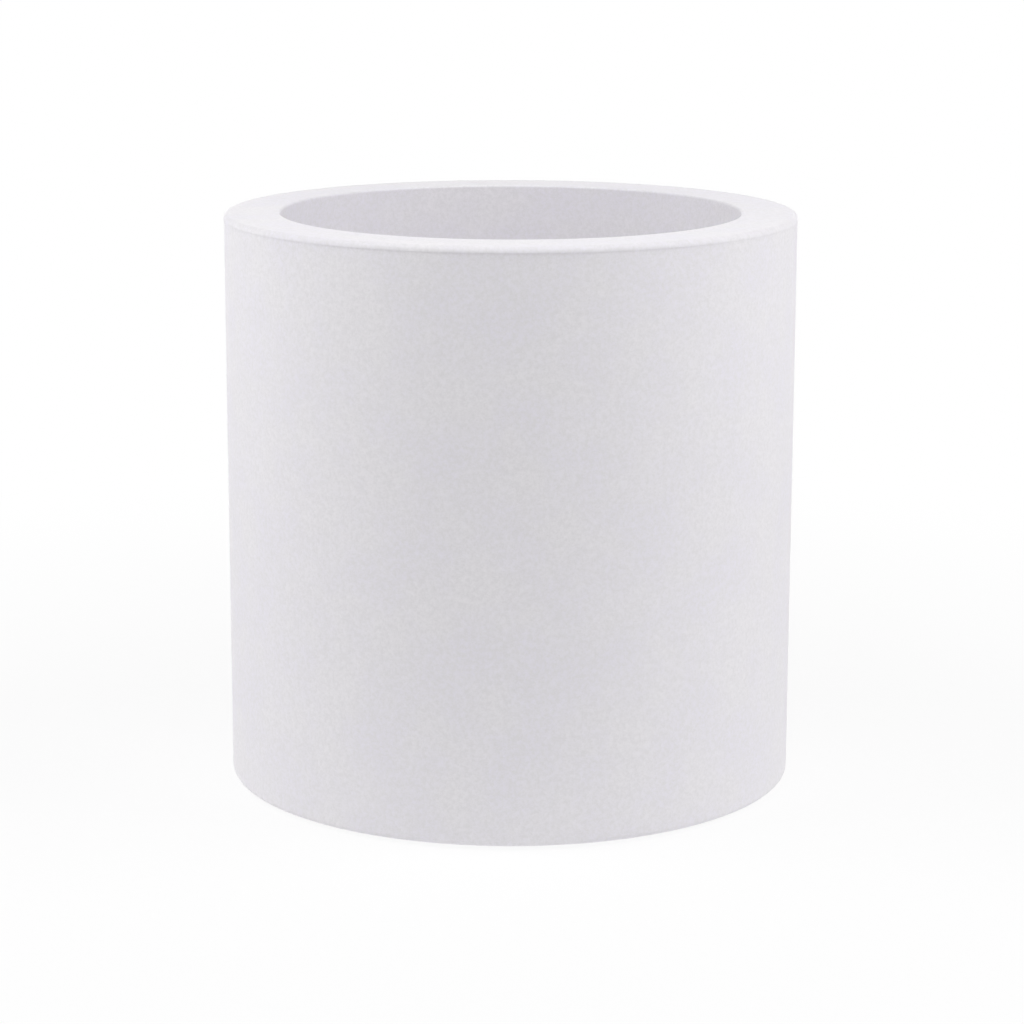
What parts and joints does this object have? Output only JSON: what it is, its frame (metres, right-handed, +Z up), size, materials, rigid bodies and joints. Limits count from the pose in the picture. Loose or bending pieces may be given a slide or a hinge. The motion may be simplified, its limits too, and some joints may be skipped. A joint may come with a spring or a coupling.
{
  "type": "illuminated planter",
  "caption": "Cordless illuminated planter: a matt white double-wall cylinder with a wide flat rim and a deep planting bowl, lit from a sealed lamp under the bowl.",
  "frame": {"origin": "centre of the base at floor level", "axes": "+Z up, the pictured side faces -Y, the control panel faces +Y, +X to the right in the picture"},
  "size_m": [0.5999, 0.6, 0.603],
  "materials": {
    "shell_polyethylene": "matte",
    "foot_rubber": "matte",
    "brass": "satin",
    "hatch_plastic": "matte",
    "seal_rubber": "matte",
    "stainless_steel": "satin",
    "vent_plastic": "satin",
    "tub_plastic": "matte",
    "aluminium": "satin",
    "led_board_white": "satin",
    "led_phosphor": "gloss",
    "opal_plastic": "satin",
    "foam": "matte",
    "cradle_plastic": "matte",
    "cell_wrap": "gloss",
    "nickel": "satin",
    "circuit_board": "satin",
    "component_black": "matte",
    "terminal_green": "satin",
    "wire_red": "satin",
    "wire_white": "satin",
    "gland_nylon": "satin",
    "cable_jacket": "satin",
    "clip_nylon": "satin",
    "panel_plastic": "matte",
    "button_steel": "satin",
    "button_cap_steel": "satin",
    "socket_plastic": "satin",
    "lid_plastic": "satin",
    "lens_plastic": "gloss",
    "drain_plastic": "satin",
    "tube_plastic": "satin",
    "plug_rubber": "matte"
  },
  "bodies": {
    "planter": {"outer_shell": "shell_polyethylene", "planting_bowl": "shell_polyethylene", "foot_pads": "foot_rubber", "hatch_inserts": "brass", "panel_inserts": "brass", "base_hatch": "hatch_plastic", "hatch_gasket": "seal_rubber", "tub_seal": "seal_rubber", "dome_seal": "seal_rubber", "panel_gasket": "seal_rubber", "button_seal": "seal_rubber", "socket_seal": "seal_rubber", "drain_seal": "seal_rubber", "lead_grommet": "seal_rubber", "outlet_grommet": "seal_rubber", "button_boot": "seal_rubber", "hatch_screws": "stainless_steel", "tub_screws": "stainless_steel", "ring_screws": "stainless_steel", "led_board_screws": "stainless_steel", "cradle_screws": "stainless_steel", "panel_screws": "stainless_steel", "lid_pin": "stainless_steel", "vent_plug": "vent_plastic", "lamp_tub": "tub_plastic", "heat_plate": "aluminium", "dome_ring": "aluminium", "led_board": "led_board_white", "led_chips": "led_phosphor", "diffuser_dome": "opal_plastic", "foam_pad": "foam", "cell_cradle": "cradle_plastic", "cell_clamp": "cradle_plastic", "battery_cells": "cell_wrap", "cell_links": "nickel", "socket_pins": "nickel", "control_board": "circuit_board", "board_parts": "component_black", "switch_block": "component_black", "terminal_blocks": "terminal_green", "battery_leads": "wire_red", "led_leads": "wire_white", "gland_bodies": "gland_nylon", "gland_caps": "gland_nylon", "switch_cable": "cable_jacket", "charge_cable": "cable_jacket", "cable_clips": "clip_nylon", "control_panel": "panel_plastic", "button_housing": "button_steel", "button_nut": "button_steel", "socket_body": "socket_plastic", "socket_nut": "socket_plastic", "charge_lens": "lens_plastic", "drain_fitting": "drain_plastic", "drain_nut": "drain_plastic", "drain_tube": "tube_plastic"},
    "power_button": {"button_cap": "button_cap_steel"},
    "charge_lid": {"socket_lid": "lid_plastic", "lid_seal": "seal_rubber"},
    "drain_stopper": {"drain_plug": "plug_rubber"}
  },
  "joints": [
    {"name": "button_press", "type": "slide", "parent": "planter", "child": "power_button", "axis": [0, -1, 0], "range_m": [0, 0.0025], "stiffness_N_per_m": 400, "springref_m": -0.002, "deforming": ["button_boot"]},
    {"name": "charge_lid_hinge", "type": "hinge", "parent": "planter", "child": "charge_lid", "pos_m": [-0.02484, 0.289, 0.088], "axis": [1, 0, 0], "range_deg": [0, 110]},
    {"name": "drain_plug_pull", "type": "slide", "parent": "planter", "child": "drain_stopper", "axis": [0, 0, 1], "range_m": [0, 0.06]}
  ]
}
